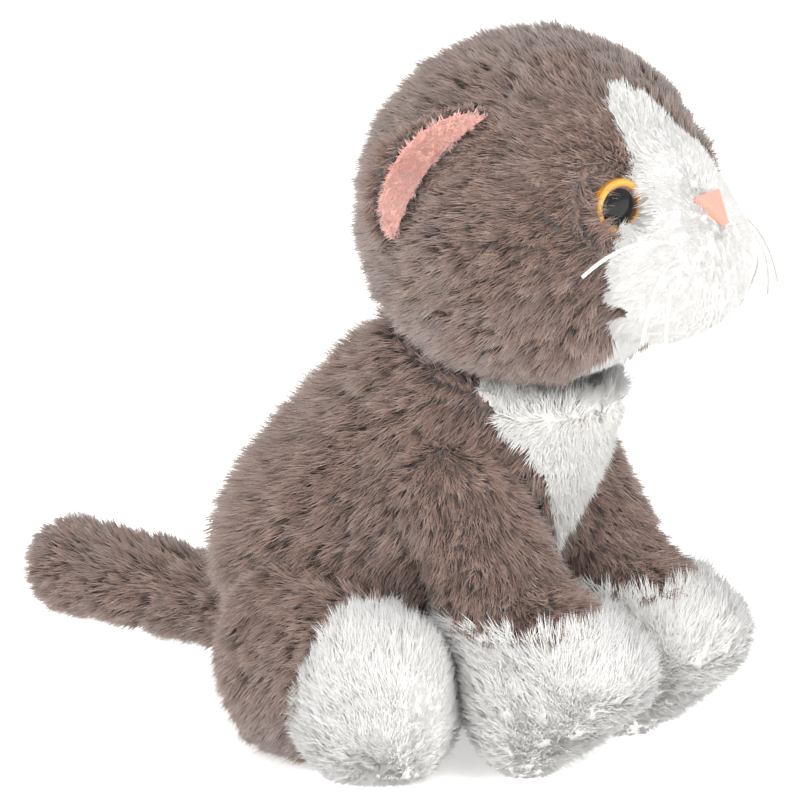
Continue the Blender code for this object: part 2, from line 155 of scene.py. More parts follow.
def node(tree, kind, settings=None, **sockets):
    """A node with its settings, and its input sockets set to a value or linked from another socket."""
    made = tree.nodes.new(kind)
    for key, value in (settings or {}).items():
        setattr(made, key, value)
    for key, value in sockets.items():
        socket = made.inputs[int(key[1:]) if key[1:].isdigit() else key.replace("_", " ")]
        if isinstance(value, bpy.types.NodeSocket):
            tree.links.new(value, socket)
        else:
            socket.default_value = value
    return made


def finish_of(name, **sockets):
    """A named material, with its tree and its Principled shader, whose plain sockets are given."""
    material = bpy.data.materials.new(name)
    material.use_nodes = True
    tree = material.node_tree
    shader = tree.nodes["Principled BSDF"]
    for key, value in sockets.items():
        shader.inputs[key.replace("_", " ")].default_value = value
    return material, tree, shader


def ramp(tree, factor, stops):
    """A colour ramp through (position, hex code) stops."""
    made = node(tree, "ShaderNodeValToRGB", Fac=factor)
    elements = made.color_ramp.elements
    while len(elements) < len(stops):
        elements.new(0.5)
    for element, (position, code) in zip(elements, stops):
        element.position = position
        element.color = light_of(code)
    return made.outputs["Color"]


# %% [markdown]
# ## Pile colours
# A fibre is painted darker at its root, where light hardly reaches, and paler at its brushed tip: this is painted
# shade.
# Neighbouring tufts take the dye a little differently, so each fibre also has a tone of its own. Both are kept in the
# fibre's UV map: V runs from root to tip, and U is the tone.

# %% Pile finishes
PILE_MAP = "OFBake"


def pile_finish(name, along, tones, roughness=0.85, sheen=0.35):
    """Plush fibre: a ramp of painted shade from a dark root to a pale tip, times one ramp over the dyed tones."""
    material, tree, shader = finish_of(name, Roughness=roughness, Sheen_Weight=sheen, Sheen_Roughness=0.5)
    shader.inputs["Specular IOR Level"].default_value = 0.25
    layout = node(tree, "ShaderNodeUVMap", {"uv_map": PILE_MAP})
    parts = node(tree, "ShaderNodeSeparateXYZ", Vector=layout.outputs["UV"])
    height = ramp(tree, parts.outputs["Y"], along)
    tone = ramp(tree, parts.outputs["X"], tones)
    painted_shade_and_tone = node(tree, "ShaderNodeMix", {"data_type": "RGBA", "blend_type": "MULTIPLY"}, _0=1.0, _6=height, _7=tone)
    tree.links.new(painted_shade_and_tone.outputs[2], shader.inputs["Base Color"])
    return material


# In each pile the first ramp, dark at the root and pale at the tip, is painted shade. The second ramp is the tuft's
# own tone.
TAUPE_PILE = pile_finish(
    "taupe_plush_pile",
    ((0.0, "4a3b36"), (0.3, "8c776e"), (0.7, "bba499"), (1.0, "e0cec5")),
    ((0.0, "8c807a"), (0.35, "c6bab4"), (0.7, "e8deda"), (1.0, "ffffff")),
)
WHITE_PILE = pile_finish(
    "white_plush_pile",
    ((0.0, "e2e0dd"), (0.4, "f5f4f2"), (1.0, "fdfdfc")),
    ((0.0, "efedeb"), (0.5, "f9f8f7"), (1.0, "ffffff")),
)
PINK_PILE = pile_finish(
    "pink_ear_pile",
    ((0.0, "ebb4a9"), (0.5, "fac9bf"), (1.0, "ffdad2")),
    ((0.0, "f0e6e4"), (0.5, "f8f2f0"), (1.0, "ffffff")),
    sheen=0.5,
)


def backing_in_painted_shade(name, dark, pale, grain):
    """The knitted backing under the pile, matted with broken fibre, mottled at the size of a tuft, and darker than its
    pile as painted shade of the deep pile.
    """
    material, tree, shader = finish_of(name, Roughness=0.95, Sheen_Weight=0.2)
    shader.inputs["Specular IOR Level"].default_value = 0.1
    place = node(tree, "ShaderNodeTexCoord").outputs["Object"]
    mottle = node(tree, "ShaderNodeTexNoise", Vector=place, Scale=1 / (grain * MM), Detail=3.0, Roughness=0.6)
    tree.links.new(ramp(tree, mottle.outputs["Fac"], ((0.35, dark), (0.65, pale))), shader.inputs["Base Color"])
    relief = node(tree, "ShaderNodeBump", Strength=0.6, Distance=0.4 * MM, Height=mottle.outputs["Fac"])
    tree.links.new(relief.outputs["Normal"], shader.inputs["Normal"])
    return material


# The dark and pale colours of each backing sit below those of its pile: painted shade for the gaps deep between tufts,
# with a random mottle.
TAUPE_BACKING = backing_in_painted_shade("taupe_plush_backing", "55443d", "8d786d", 1.6)
WHITE_BACKING = backing_in_painted_shade("white_plush_backing", "dad8d5", "e6e4e1", 1.6)
PINK_BACKING = backing_in_painted_shade("pink_ear_backing", "dfa498", "e9b2a6", 0.9)
print("pile and backing finishes:", len(bpy.data.materials))

# %% [markdown]
# ## Soft forms
# A filled limb is round in every section and tight between its ends, which is what a sheet stretched round a few
# balls looks like. So each form starts as UV spheres, the convex hull closes them in one skin, and a voxel
# remesh gives it even faces, which a cloth simulation and the pile both need.

# %% The balls inside each form: (forward, side, up, radius side, forward, up)
HEAD = (63, 0, 185, 60, 55, 56)
MUZZLE = (110, 0, 174, 32, 29, 27)
BRIDGE = (100, 0, 198, 24, 26, 20)
NECK = (49, 0, 131, 20, 20, 20)
RUMP = (3, 0, 52, 54, 52, 57)
CHEST = (39, 0, 100, 39, 34, 37)
NAPE = (36, 0, 119, 34, 34, 34)
THROAT = (62, 0, 118, 27, 27, 24)
SHOULDER = (49, 30, 92, 18, 19, 18)
WRIST = (73, 31, 50, 20, 19, 20)
HEEL = (78, 31, 25, 20, 17, 26)
TOE = (103, 31, 37, 20, 18, 14)
HIP = (-4, 50, 33, 18, 22, 30)
KNEE = (24, 57, 31, 20, 22, 29)
HIND_FOOT = (34, 64, 27, 24, 20, 29)
HIND_SOLE = (55, 64, 27, 21, 7, 24)
TAIL_ROOT = (-54, 0, 32, 12.5, 12.5, 12.5)
TAIL_MIDDLE = (-95, 0, 36, 12.5, 12.5, 12.5)
TAIL_TIP = (-121, 0, 37, 13.5, 14, 13.5)
RUNNING = 1.0


# %% Making a soft form
def only(*objects):
    """These objects are selected, the last one is active, and nothing else is."""
    bpy.ops.object.select_all(action="DESELECT")
    for each in objects:
        each.select_set(True)
    bpy.context.view_layer.objects.active = objects[-1]


def edit(obj):
    """Edit mode on one object, with all of it selected."""
    only(obj)
    bpy.ops.object.mode_set(mode="EDIT")
    bpy.ops.mesh.select_all(action="SELECT")


def done():
    bpy.ops.object.mode_set(mode="OBJECT")


def turned(pivot, axis, degrees):
    """The matrix that turns about an axis through a pivot."""
    place = Matrix.Translation(pivot)
    return place @ Matrix.Rotation(radians(degrees), 4, axis) @ place.inverted()


def soft_form(name, balls, grow=0.0, floor=None, turns=(Matrix(),)):
    """One skin stretched round some balls, each grown by a length, in each of the given turns."""
    spheres = []
    for turn in turns:
        for forward, side, up, r_side, r_forward, r_up in balls:
            bpy.ops.mesh.primitive_uv_sphere_add(segments=40, ring_count=20, radius=MM)
            sphere = bpy.context.object
            size = Matrix.Diagonal((r_side + grow, r_forward + grow, r_up + grow, 1))
            sphere.data.transform(turn @ Matrix.Translation(at(forward, side, up)) @ size)
            spheres.append(sphere)
    only(*spheres)
    if len(spheres) > 1:
        bpy.ops.object.join()
    form = bpy.context.object
    form.name = form.data.name = name
    edit(form)
    bpy.ops.mesh.convex_hull()
    if floor is not None:
        bpy.ops.mesh.select_all(action="SELECT")
        bpy.ops.mesh.bisect(plane_co=(0, 0, floor * MM), plane_no=(0, 0, -1), use_fill=True, clear_outer=True)
    done()
    return form


def combined(form, other, operation):
    """The form with another added or cut away. The other is used up."""
    modifier = form.modifiers.new(operation.lower(), "BOOLEAN")
    modifier.operation = operation
    modifier.object = other
    only(form)
    bpy.ops.object.modifier_apply(modifier=modifier.name)
    bpy.data.objects.remove(other)
    return form


def evened(form, voxel, rounds=6):
    """Even faces of a given size, with the corners that the remesh leaves smoothed."""
    only(form)
    form.data.remesh_voxel_size = voxel * MM
    bpy.ops.object.voxel_remesh()
    relax = form.modifiers.new("relax", "SMOOTH")
    relax.factor = 0.5
    relax.iterations = rounds
    bpy.ops.object.modifier_apply(modifier=relax.name)
    form.data.shade_smooth()
    return form


# %% [markdown]
# ## Torso
# The body is one long form from the seat to the nape, cut flat where it sits. The head and the limbs are sewn
# on in hollows that they nearly fill, and each hollow is as large as the limb's travel needs.

# %% Torso
neck = at(*NECK[:3])
nods = [turned(neck, "X", angle) for angle in (-8, 0, 8)]
torso = soft_form("torso_skin", [RUMP, CHEST, NAPE, THROAT], floor=0.0)
combined(torso, soft_form("head_room", [(*HEAD[:3], 60, 60, 60)], 2 * RUNNING, turns=nods), "DIFFERENCE")
for word, side in SIDES:
    shoulder = at(*on_side(SHOULDER, side)[:3])
    swings = [turned(shoulder, "X", -angle) for angle in (0, 25)]
    arm = [on_side(ball, side) for ball in (SHOULDER, WRIST)]
    combined(torso, soft_form("arm_room", arm, RUNNING, turns=swings), "DIFFERENCE")
    hip = at(*on_side(HIP, side)[:3])
    splays = [turned(hip, "Z", -side * angle) for angle in (0, 20)]
    thigh = [on_side(ball, side) for ball in (HIP, KNEE)]
    combined(torso, soft_form("thigh_room", thigh, RUNNING, turns=splays), "DIFFERENCE")
sways = [turned(at(*TAIL_ROOT[:3]), "Z", angle) for angle in (-25, 25)]
combined(torso, soft_form("tail_room", [TAIL_ROOT, TAIL_MIDDLE, TAIL_TIP], RUNNING, turns=sways), "DIFFERENCE")
evened(torso, 2.0, 3)
neck_skin = evened(soft_form("neck_skin", [NECK]), 2.5)
print("torso faces", len(torso.data.polygons))

# %% [markdown]
# ## Head
# The head is nearly a ball, and the muzzle is a smaller ball sewn on its front. The two are joined before the
# remesh, so that the smoothing turns the sharp line between them into the soft fold of a sewn seam. The eyes are
# pulled tight from inside, so each presses a shallow socket in the cloth.

# %% Head
EYE, EYE_SPLAY = (110.5, 28, 196.6), 22
head = soft_form("head_skin", [HEAD])
combined(head, soft_form("muzzle_form", [MUZZLE, BRIDGE]), "UNION")
combined(head, soft_form("neck_room", [NECK], RUNNING), "DIFFERENCE")
for _, side in SIDES:
    gaze = at(cos(radians(EYE_SPLAY)), side * sin(radians(EYE_SPLAY)), 0).normalized()
    bpy.ops.mesh.primitive_cylinder_add(vertices=48, radius=10.5 * MM, depth=14 * MM)
    socket = bpy.context.object
    middle = at(*on_side(EYE, side)) + gaze * 6.2 * MM
    socket.data.transform(Matrix.Translation(middle) @ gaze.to_track_quat("Z", "Y").to_matrix().to_4x4())
    combined(head, socket, "DIFFERENCE")
evened(head, 1.8, 5)
print("head faces", len(head.data.polygons))

# %% [markdown]
# ## Legs and tail
# A front leg is a sleeve and a mitten with its toes lifted. A hind leg shows only a thigh and a foot whose flat
# sole faces forwards. The tail is a plain tube with a fuller tip.

# %% Legs and tail
legs = {}
for word, side in SIDES:
    arm = [on_side(ball, side) for ball in (SHOULDER, WRIST)]
    paw = [on_side(ball, side) for ball in (WRIST, HEEL, TOE)]
    front_leg = soft_form(f"front_leg_skin_{word}", arm)
    combined(front_leg, soft_form("mitten", paw, floor=0.0), "UNION")
    legs[f"front_{word}"] = evened(front_leg, 2.0, 4)
    thigh = [on_side(ball, side) for ball in (HIP, KNEE)]
    foot = [on_side(ball, side) for ball in (HIND_FOOT, HIND_SOLE)]
    hind_leg = soft_form(f"hind_leg_skin_{word}", thigh, floor=0.0)
    combined(hind_leg, soft_form("foot", foot, floor=0.0), "UNION")
    legs[f"hind_{word}"] = evened(hind_leg, 2.0, 3)
tail = evened(soft_form("tail_skin_form", [TAIL_ROOT, TAIL_MIDDLE, TAIL_TIP]), 2.0)
print("leg faces", [len(leg.data.polygons) for leg in legs.values()])

# %% [markdown]
# ## How far a place is from a form
# The cloth is sewn down in the hollows where a limb is set in, pile isn't grown there, and it is shorter where two
# pieces press on each other. All need the distance from any place to a neighbour's balls, which is simple for a chain of spheres.


# %% Distance to a chain of balls
def places_of(values):
    """Columns forward, side and up, in millimetres, from an array of frame coordinates."""
    return -values[:, 1] / MM, -values[:, 0] / MM, values[:, 2] / MM


def clearance(forward, side, up, balls):
    """Roughly how far places are outside a chain of balls, in millimetres."""
    place = np.stack([forward, side, up], 1)
    nearest = np.full(len(place), 1e9)
    for first, second in zip(balls, balls[1:] or balls):
        a, b = np.array(first[:3], float), np.array(second[:3], float)
        radius_a = np.array([first[4], first[3], first[5]], float)
        radius_b = np.array([second[4], second[3], second[5]], float)
        along = b - a
        share = np.clip((place - a) @ along / max(along @ along, 1e-9), 0, 1)[:, None]
        radius = radius_a + (radius_b - radius_a) * share
        reach = np.linalg.norm((place - a - along * share) / radius, axis=1)
        nearest = np.minimum(nearest, (reach - 1) * radius.min(axis=1))
    return nearest


limbs = [[(*HEAD[:3], 60, 60, 60)], [TAIL_ROOT, TAIL_MIDDLE]]
for _, side in SIDES:
    limbs.append([on_side(ball, side) for ball in (SHOULDER, WRIST)])
    limbs.append([on_side(ball, side) for ball in (HIP, KNEE)])


def near_limbs(forward, side, up):
    """The distance from the nearest of the pieces that are sewn into the torso, the head among them."""
    return np.min([clearance(forward, side, up, balls) for balls in limbs], axis=0)


# %% [markdown]
# ## Filling the cloth
# The skins so far are the pattern before it is stuffed. A cloth simulation lets the filling press on them from
# inside while they are held along the seams, so each panel crowns a little between its seams and a shallow groove
# stays where the stitches are. All skins are filled in one run, and no place may move more than 1.5 mm.

# %% Filling
FILLING_STEPS, FILLING_CAP = 14, 1.5


def from_eye(forward, side, up):
    return np.linalg.norm([forward - EYE[0], np.abs(side) - EYE[1], up - EYE[2]], axis=0)


def sewn_torso(forward, side, up):
    return (np.abs(side) < 1.1) | (near_limbs(forward, side, up) < 3.2) | (up < 1.5)


def sewn_head(forward, side, up):
    back_seams = (forward < 62) & ((np.abs(side) < 1.1) | (np.abs(forward - 60) < 1.1))
    fittings = (from_eye(forward, side, up) < 10.5) | (np.linalg.norm([forward - 129, side, up - 190], axis=0) < 12)
    return back_seams | fittings | (clearance(forward, side, up, [NECK]) < 3)


def sewn_front_leg(forward, side, up):
    return (np.abs(up - 53) < 1.2) | (np.abs(side) < 14) | (up < 1.2) | (up > 106)


def sewn_hind_leg(forward, side, up):
    return (np.abs(forward - 57) < 1.2) | (np.abs(side) < 34) | (up < 1.2)


def sewn_tail(forward, side, up):
    return (forward > -56) | ((np.abs(side) < 1.1) & (up < 30))


def fill(skins):
    """Pressure inside each (skin, held places), with the result applied."""
    before, tightest = {}, 0
    for skin, held in skins:
        places = np.empty(len(skin.data.vertices) * 3)
        skin.data.vertices.foreach_get("co", places)
        before[skin] = places.reshape(-1, 3)
        sewn = skin.vertex_groups.new(name="sewn")
        sewn.add(np.flatnonzero(held(*places_of(before[skin]))).tolist(), 1.0, "REPLACE")
        cloth = skin.modifiers.new("filled_cloth", "CLOTH")
        cloth.settings.mass = 0.002
        cloth.settings.quality = 3
        cloth.settings.use_pressure = True
        cloth.settings.uniform_pressure_force = 4
        cloth.settings.vertex_group_mass = sewn.name
        cloth.settings.effector_weights.gravity = 0
        cloth.point_cache.frame_end = FILLING_STEPS
    for step in range(1, FILLING_STEPS + 1):
        bpy.context.scene.frame_set(step)
    for skin, _ in skins:
        only(skin)
        bpy.ops.object.modifier_apply(modifier="filled_cloth")
        places = np.empty(len(skin.data.vertices) * 3)
        skin.data.vertices.foreach_get("co", places)
        move = places.reshape(-1, 3) - before[skin]
        size = np.maximum(np.linalg.norm(move, axis=1, keepdims=True), 1e-9)
        move *= FILLING_CAP * MM * np.tanh(size / (FILLING_CAP * MM)) / size
        skin.data.vertices.foreach_set("co", (before[skin] + move).ravel())
        skin.data.update()
        print(skin.name, "moved up to", round(size.max() / MM, 2), "mm before the cap, median", round(float(np.median(size)) / MM, 2))
    bpy.context.scene.frame_set(1)


fill(
    [(torso, sewn_torso), (head, sewn_head), (tail, sewn_tail)]
    + [(legs[f"front_{word}"], sewn_front_leg) for word, _ in SIDES]
    + [(legs[f"hind_{word}"], sewn_hind_leg) for word, _ in SIDES]
)

# %% [markdown]
# ## Which colour is where
# One skin can carry two colours of cloth, as at a wrist. Faces are given the backing that lies under their pile
# by where their centre is, so the seam between two cloths is where the pattern's pieces meet.


# %% Seams between colours
WRIST_SEAM = 53
BIB_TIP, BIB_SPREAD = 70, 0.62


def white_of_face(forward, side, up):
    """Where the face is white: a strip down the forehead that widens round the muzzle and the chin."""
    centre = np.interp(up, (190, 210, 230), (0, 3.5, 4.5))
    half = np.interp(
        up,
        (132, 148, 157, 166, 175, 185, 191, 197, 204, 211, 220, 226, 230),
        (12, 17, 25, 31, 32, 31, 28, 25.5, 18.5, 14, 12.5, 9, 3),
    )
    return (forward > 60) & (np.abs(side - centre) < half) & (up < 230)


def white_of_body(forward, side, up):
    """The bib: a V that points down the chest."""
    return (forward > 56) & (np.abs(side) < np.minimum((up - BIB_TIP) * BIB_SPREAD, 28))


def white_of_front_leg(forward, side, up):
    return up < WRIST_SEAM


def white_of_hind_leg(forward, side, up):
    """The foot, in front of a seam that slants back as it goes down."""
    return 0.8 * (forward - 24) + 0.15 * (np.abs(side) - 60) - 0.3 * (up - 30) > 0


def white_of_tail(forward, side, up):
    return forward > 1000


def faces_of(obj):
    """Centres, as an array, of an object's faces."""
    centres = np.empty(len(obj.data.polygons) * 3, np.float32)
    obj.data.polygons.foreach_get("center", centres)
    return centres.reshape(-1, 3)


def dress(obj, white, body, slot, *nodes):
    """Backing on each face of a filled skin, which then rides on its body and stands for its parts."""
    obj.data.materials.clear()
    obj.data.materials.append(TAUPE_BACKING)
    obj.data.materials.append(WHITE_BACKING)
    obj.data.polygons.foreach_set("material_index", white(*places_of(faces_of(obj))).astype(np.int32))
    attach(obj, body)
    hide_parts(*nodes)


dress(
    torso, white_of_body, "torso", "taupe_plush",
    "back_panel_right", "back_panel_left", "bib_panel", "belly_panel", "seat_panel", "body_stuffing", "pellet_pouch",
)
dress(
    head, white_of_face, "head", "taupe_plush",
    "crown_panel", "blaze_panel", "chin_panel", "muzzle_panel", "cheek_panel_right", "cheek_panel_left",
    "head_back_panel_right", "head_back_panel_left", "head_stuffing",
)
dress(neck_skin, white_of_tail, "neck", "taupe_plush", "neck_stuffing")
dress(tail, white_of_tail, "tail", "taupe_plush", "tail_skin", "tail_stuffing")
for word, side in SIDES:
    dress(
        legs[f"front_{word}"], white_of_front_leg, f"front_leg_{word}", "taupe_plush",
        f"front_leg_sleeve_{word}", f"front_paw_{word}", f"front_leg_stuffing_{word}",
    )
    dress(
        legs[f"hind_{word}"], white_of_hind_leg, f"hind_leg_{word}", "taupe_plush",
        f"thigh_panel_{word}", f"hind_paw_{word}", f"hind_sole_{word}", f"hind_leg_stuffing_{word}",
    )
print("skins dressed")

# %% [markdown]
# ## Uneven growth
# Nothing in a brushed pile is quite even, and what varies does so smoothly, over places a tuft or a palm wide.


# %% A smooth random field
def waves(place, size, seed, octaves=2):
    """A smooth random field from -1 to 1 over places in millimetres, with features of a given size."""
    draw = np.random.default_rng(seed)
    total = np.zeros(len(place))
    for octave in range(octaves):
        for _ in range(7):
            direction = draw.normal(size=3)
            direction *= 2 * pi / (size * draw.uniform(0.8, 1.4)) / np.linalg.norm(direction) * 1.9**octave
            total += np.sin(place @ direction + draw.uniform(0, 2 * pi)) / 1.9**octave
    return np.clip(total / 4.2, -1, 1)


# %% [markdown]
# ## Growing pile
# A real pile is some hundred fibres per square millimetre, which stick together in tufts about 2 mm wide. The
# tufts are what the eye sees. So each fibre here is a thin closed spike that stands for a lock of real ones, and
# spikes are grown tuft by tuft: their roots are spread over the tuft's patch of cloth, and their tips are drawn
# together. A spike is four triangles, drawn in bulk from arrays, because hair particles don't travel with a
# model and a hundred thousand copies of an object would be slow.

# %% Growing pile
PILE_DENSITY = 1.0


def surface(obj):
    """Corners, corner normals and areas of an object's triangles, in millimetres."""
    mesh = obj.data
    mesh.calc_loop_triangles()
    places = np.empty(len(mesh.vertices) * 3)
    mesh.vertices.foreach_get("co", places)
    normals = np.empty(len(mesh.vertices) * 3)
    mesh.vertices.foreach_get("normal", normals)
    corners = np.empty(len(mesh.loop_triangles) * 3, np.int32)
    mesh.loop_triangles.foreach_get("vertices", corners)
    corners = corners.reshape(-1, 3)
    places, normals = places.reshape(-1, 3) / MM, normals.reshape(-1, 3)
    a, b, c = (places[corners[:, i]] for i in range(3))
    area = np.linalg.norm(np.cross(b - a, c - a), axis=1) / 2
    return places[corners], normals[corners], area


def unit(vectors):
    return vectors / np.maximum(np.linalg.norm(vectors, axis=1, keepdims=True), 1e-9)


def grow_pile(name, skin, body, material, where, length, nap, seed, tufts=0.26, fibres=12, patch=1.5,
              lean=1.2, pinch=0.35, stray=0.13, width=0.3, tone=0.5, spread=0.35, drift=0.35, sink=0.3, evenly=0.0):
    """Spikes over the part of a skin that where() keeps.

    length and nap are functions of place: how long the pile is, and the way it is brushed. tufts is their
    number per square millimetre, patch their radius, lean how far the pile lies over, pinch how far the tips
    of a tuft draw together, stray the disorder of a fibre, and width a fibre's breadth at its root. evenly is
    how far a fibre takes its shading from the cloth under it, as dense short pile does.
    """
    draw = np.random.default_rng(seed)
    corners, normals, area = surface(skin)
    count = int(area.sum() * tufts * PILE_DENSITY)
    chosen = np.searchsorted(np.cumsum(area), draw.uniform(0, area.sum(), count))
    chosen = np.minimum(chosen, len(area) - 1)
    s, t = draw.random((2, count))
    fold = s + t > 1
    s[fold], t[fold] = 1 - s[fold], 1 - t[fold]
    weights = np.stack([1 - s - t, s, t], 1)[:, :, None]
    centre = (corners[chosen] * weights).sum(1)
    normal = unit((normals[chosen] * weights).sum(1))
    keep = where(*places_of(centre * MM))
    centre, normal = centre[keep], normal[keep]
    count = len(centre)
    columns = places_of(centre * MM)
    reach = length(*columns) * draw.uniform(0.85, 1.15, count)
    brushed = nap(*columns)
    brushed = np.stack([-brushed[1], -brushed[0], brushed[2]], 1)
    brushed = unit(brushed - (brushed * normal).sum(1, keepdims=True) * normal)
    brushed += drift * np.stack([waves(centre, 22, seed + k) for k in range(3)], 1)
    over = lean(*columns)[:, None] if callable(lean) else lean
    heading = unit(normal + brushed * over + draw.normal(0, 0.2, (count, 3)))
    tuft_tone = tone + spread * 0.6 * waves(centre, 9, seed + 7) + spread * 0.5 * draw.normal(0, 0.6, count)

    across = unit(np.cross(normal, np.where(np.abs(normal[:, :1]) < 0.9, (1.0, 0, 0), (0, 1.0, 0))))
    other = np.cross(normal, across)
    angle = draw.uniform(0, 2 * pi, (count, fibres))
    radius = patch * np.sqrt(draw.random((count, fibres)))
    offset = (radius * np.cos(angle))[..., None] * across[:, None] + (radius * np.sin(angle))[..., None] * other[:, None]
    # A patch is flat and the form is round, so the outer roots sink a little to stay in the cloth.
    root = centre[:, None] + offset - normal[:, None] * (sink + 0.02 * radius[..., None] ** 2)
    own = reach[:, None] * draw.uniform(0.72, 1.08, (count, fibres))
    tip = root + offset * -pinch + heading[:, None] * own[..., None]
    tip += draw.normal(0, 1, (count, fibres, 3)) * stray * own[..., None]
    root, tip = root.reshape(-1, 3), tip.reshape(-1, 3)
    # Nothing goes through the ground that the cat sits on.
    sunk = tip[:, 2] < 0.3
    tip[sunk, 2] = 0.3 + 0.2 * draw.random(sunk.sum())
    root[:, 2] = np.maximum(root[:, 2], 0.5)
    tones = np.clip(np.repeat(tuft_tone, fibres) + spread * draw.normal(0, 0.45, len(root)), 0.02, 0.98)

    axis = unit(tip - root)
    first = unit(np.cross(axis, np.where(np.abs(axis[:, :1]) < 0.9, (1.0, 0, 0), (0, 1.0, 0))))
    second = np.cross(axis, first)
    twist = draw.uniform(0, 2 * pi, len(root))
    breadth = width * draw.uniform(0.7, 1.25, len(root))
    spikes = np.empty((len(root), 4, 3))
    for k in range(3):
        turn = twist + k * 2 * pi / 3
        spikes[:, k] = root + breadth[:, None] * (np.cos(turn)[:, None] * first + np.sin(turn)[:, None] * second)
    spikes[:, 3] = tip
    spikes[:, :, 2] = np.maximum(spikes[:, :, 2], 0.15)
    grown = spike_mesh(name, spikes, tones, body, material)
    if evenly:
        own_normals = np.empty(len(spikes) * 12)
        grown.data.vertices.foreach_get("normal", own_normals)
        cloth = np.repeat(np.repeat(normal, fibres, axis=0), 4, axis=0)
        grown.data.normals_split_custom_set_from_vertices(
            unit(own_normals.reshape(-1, 3) * (1 - evenly) + cloth * evenly).tolist()
        )
    return grown


def spike_mesh(name, spikes, tones, body, material):
    """One mesh of four-cornered spikes in millimetres, coloured by tone, riding on a body."""
    count = len(spikes)
    base = np.arange(count, dtype=np.int32)[:, None] * 4
    faces = np.array([[0, 1, 3], [1, 2, 3], [2, 0, 3], [0, 2, 1]], np.int32)
    corners = (base[:, :, None] + faces).reshape(-1)
    mesh = bpy.data.meshes.new(name)
    mesh.vertices.add(count * 4)
    mesh.vertices.foreach_set("co", (spikes * MM).astype(np.float32).ravel())
    mesh.loops.add(len(corners))
    mesh.loops.foreach_set("vertex_index", corners)
    mesh.polygons.add(count * 4)
    mesh.polygons.foreach_set("loop_start", np.arange(count * 4, dtype=np.int32) * 3)
    layout = mesh.uv_layers.new(name=PILE_MAP)
    half = 0.012
    across = np.stack([tones - half, tones + half, tones, tones], 1)
    # V is 0 at the root and 1 at the tip, which the pile finish turns into painted shade at the root.
    height = np.tile((0.0, 0.0, 0.0, 1.0), (count, 1))
    flat = np.stack([across.reshape(-1)[corners], height.reshape(-1)[corners]], 1)
    layout.data.foreach_set("uv", flat.astype(np.float32).ravel())
    mesh.update(calc_edges=True)
    mesh.validate()
    mesh.shade_smooth()
    mesh.materials.append(material)
    grown = bpy.data.objects.new(name, mesh)
    bpy.context.scene.collection.objects.link(grown)
    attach(grown, body)
    print(name, count, "spikes")
    return grown


# %% [markdown]
# ## Pile of the head
# The cloth is cut so that the pile runs back and down from the nose. It is 7 mm long and lies half over, so it
# stands 4 mm deep on the cheeks. It is brushed flat on the forehead and clipped short on the white muzzle. Round
# each eye it closes in over the edge of the amber disc, most of all at the inner brow.


# %% Head pile

def head_nap(forward, side, up):
    """Away from the nose: back over the forehead, back and down over the cheeks, and in over an eye's outer edge."""
    x, y, z = forward - 135, side * 1.0, up - 178
    ways = np.stack([x - 40, y * 0.9, z * 0.8 - 35])
    ways /= np.linalg.norm(ways, axis=0)
    inwards = np.stack([EYE[0] + 6 - forward, np.sign(side) * (EYE[1] - 3 - np.abs(side)), EYE[2] - up])
    inwards /= np.linalg.norm(inwards, axis=0)
    outer = np.clip((np.abs(side) - 25) / 5, 0, 1) * np.clip((18 - from_eye(forward, side, up)) / 6, 0, 1)
    return ways * (1 - outer) + inwards * outer * 1.2


def plain(value):
    return lambda forward, side, up: np.full(len(forward), float(value))


def in_neck(forward, side, up):
    return clearance(forward, side, up, [NECK]) < 2


def near_eye(forward, side, up):
    """Within the disc of an eye."""
    inner = np.clip((30 - np.abs(side)) / 4, 0, 1)
    return from_eye(forward, side, up) < 8.6 + 1.2 * inner


def forehead(forward, side, up):
    """From 0 on the cheeks and the back of the head to 1 on the forehead, where the pile is brushed flat."""
    return np.clip((forward - 62) / 22, 0, 1) * np.clip((up - 196) / 20, 0, 1)


def brow(forward, side, up):
    """The tuft that overhangs the inner corner of an eye, from 0 to 1."""
    return np.clip(1.3 - np.linalg.norm([forward - 113, np.abs(side) - 19, up - 209], axis=0) / 9, 0, 1)


def by_ear(forward, side, up):
    """From 0 to 1 on the strip of head that an ear's lining faces."""
    along = (forward - 57) * 0.47 + (up - 202.5) * 0.85 - (np.abs(side) - 49) * 0.19
    ahead = (forward - 57) * 0.82 - (up - 202.5) * 0.33 + (np.abs(side) - 49) * 0.45
    return np.clip(1.3 - np.abs(along) / 27, 0, 1) * (ahead > -3) * np.clip((11 - ahead) / 5, 0, 1) * (np.abs(side) > 30)


def head_length(forward, side, up):
    back = np.clip((75 - forward) / 50, 0, 1)
    outer = np.clip((np.abs(side) - 27) / 5, 0, 1)
    rim = np.clip((from_eye(forward, side, up) - 4) / 10, 0.6 + 0.35 * outer, 1)
    length = (7 + 1.5 * back - 1.2 * forehead(forward, side, up)) * rim + 2 * brow(forward, side, up)
    return length * (1 - 0.6 * by_ear(forward, side, up))


def head_lean(forward, side, up):
    return 1.15 + 1.1 * forehead(forward, side, up) - 0.9 * brow(forward, side, up)


def face_length(forward, side, up):
    near = np.clip((17 - from_eye(forward, side, up)) / 6, 0, 1)
    return np.where(forward > 118, 2.6, 3.6) + 2.2 * near


def face_lean(forward, side, up):
    return 1.5 - 0.6 * np.clip((17 - from_eye(forward, side, up)) / 6, 0, 1)


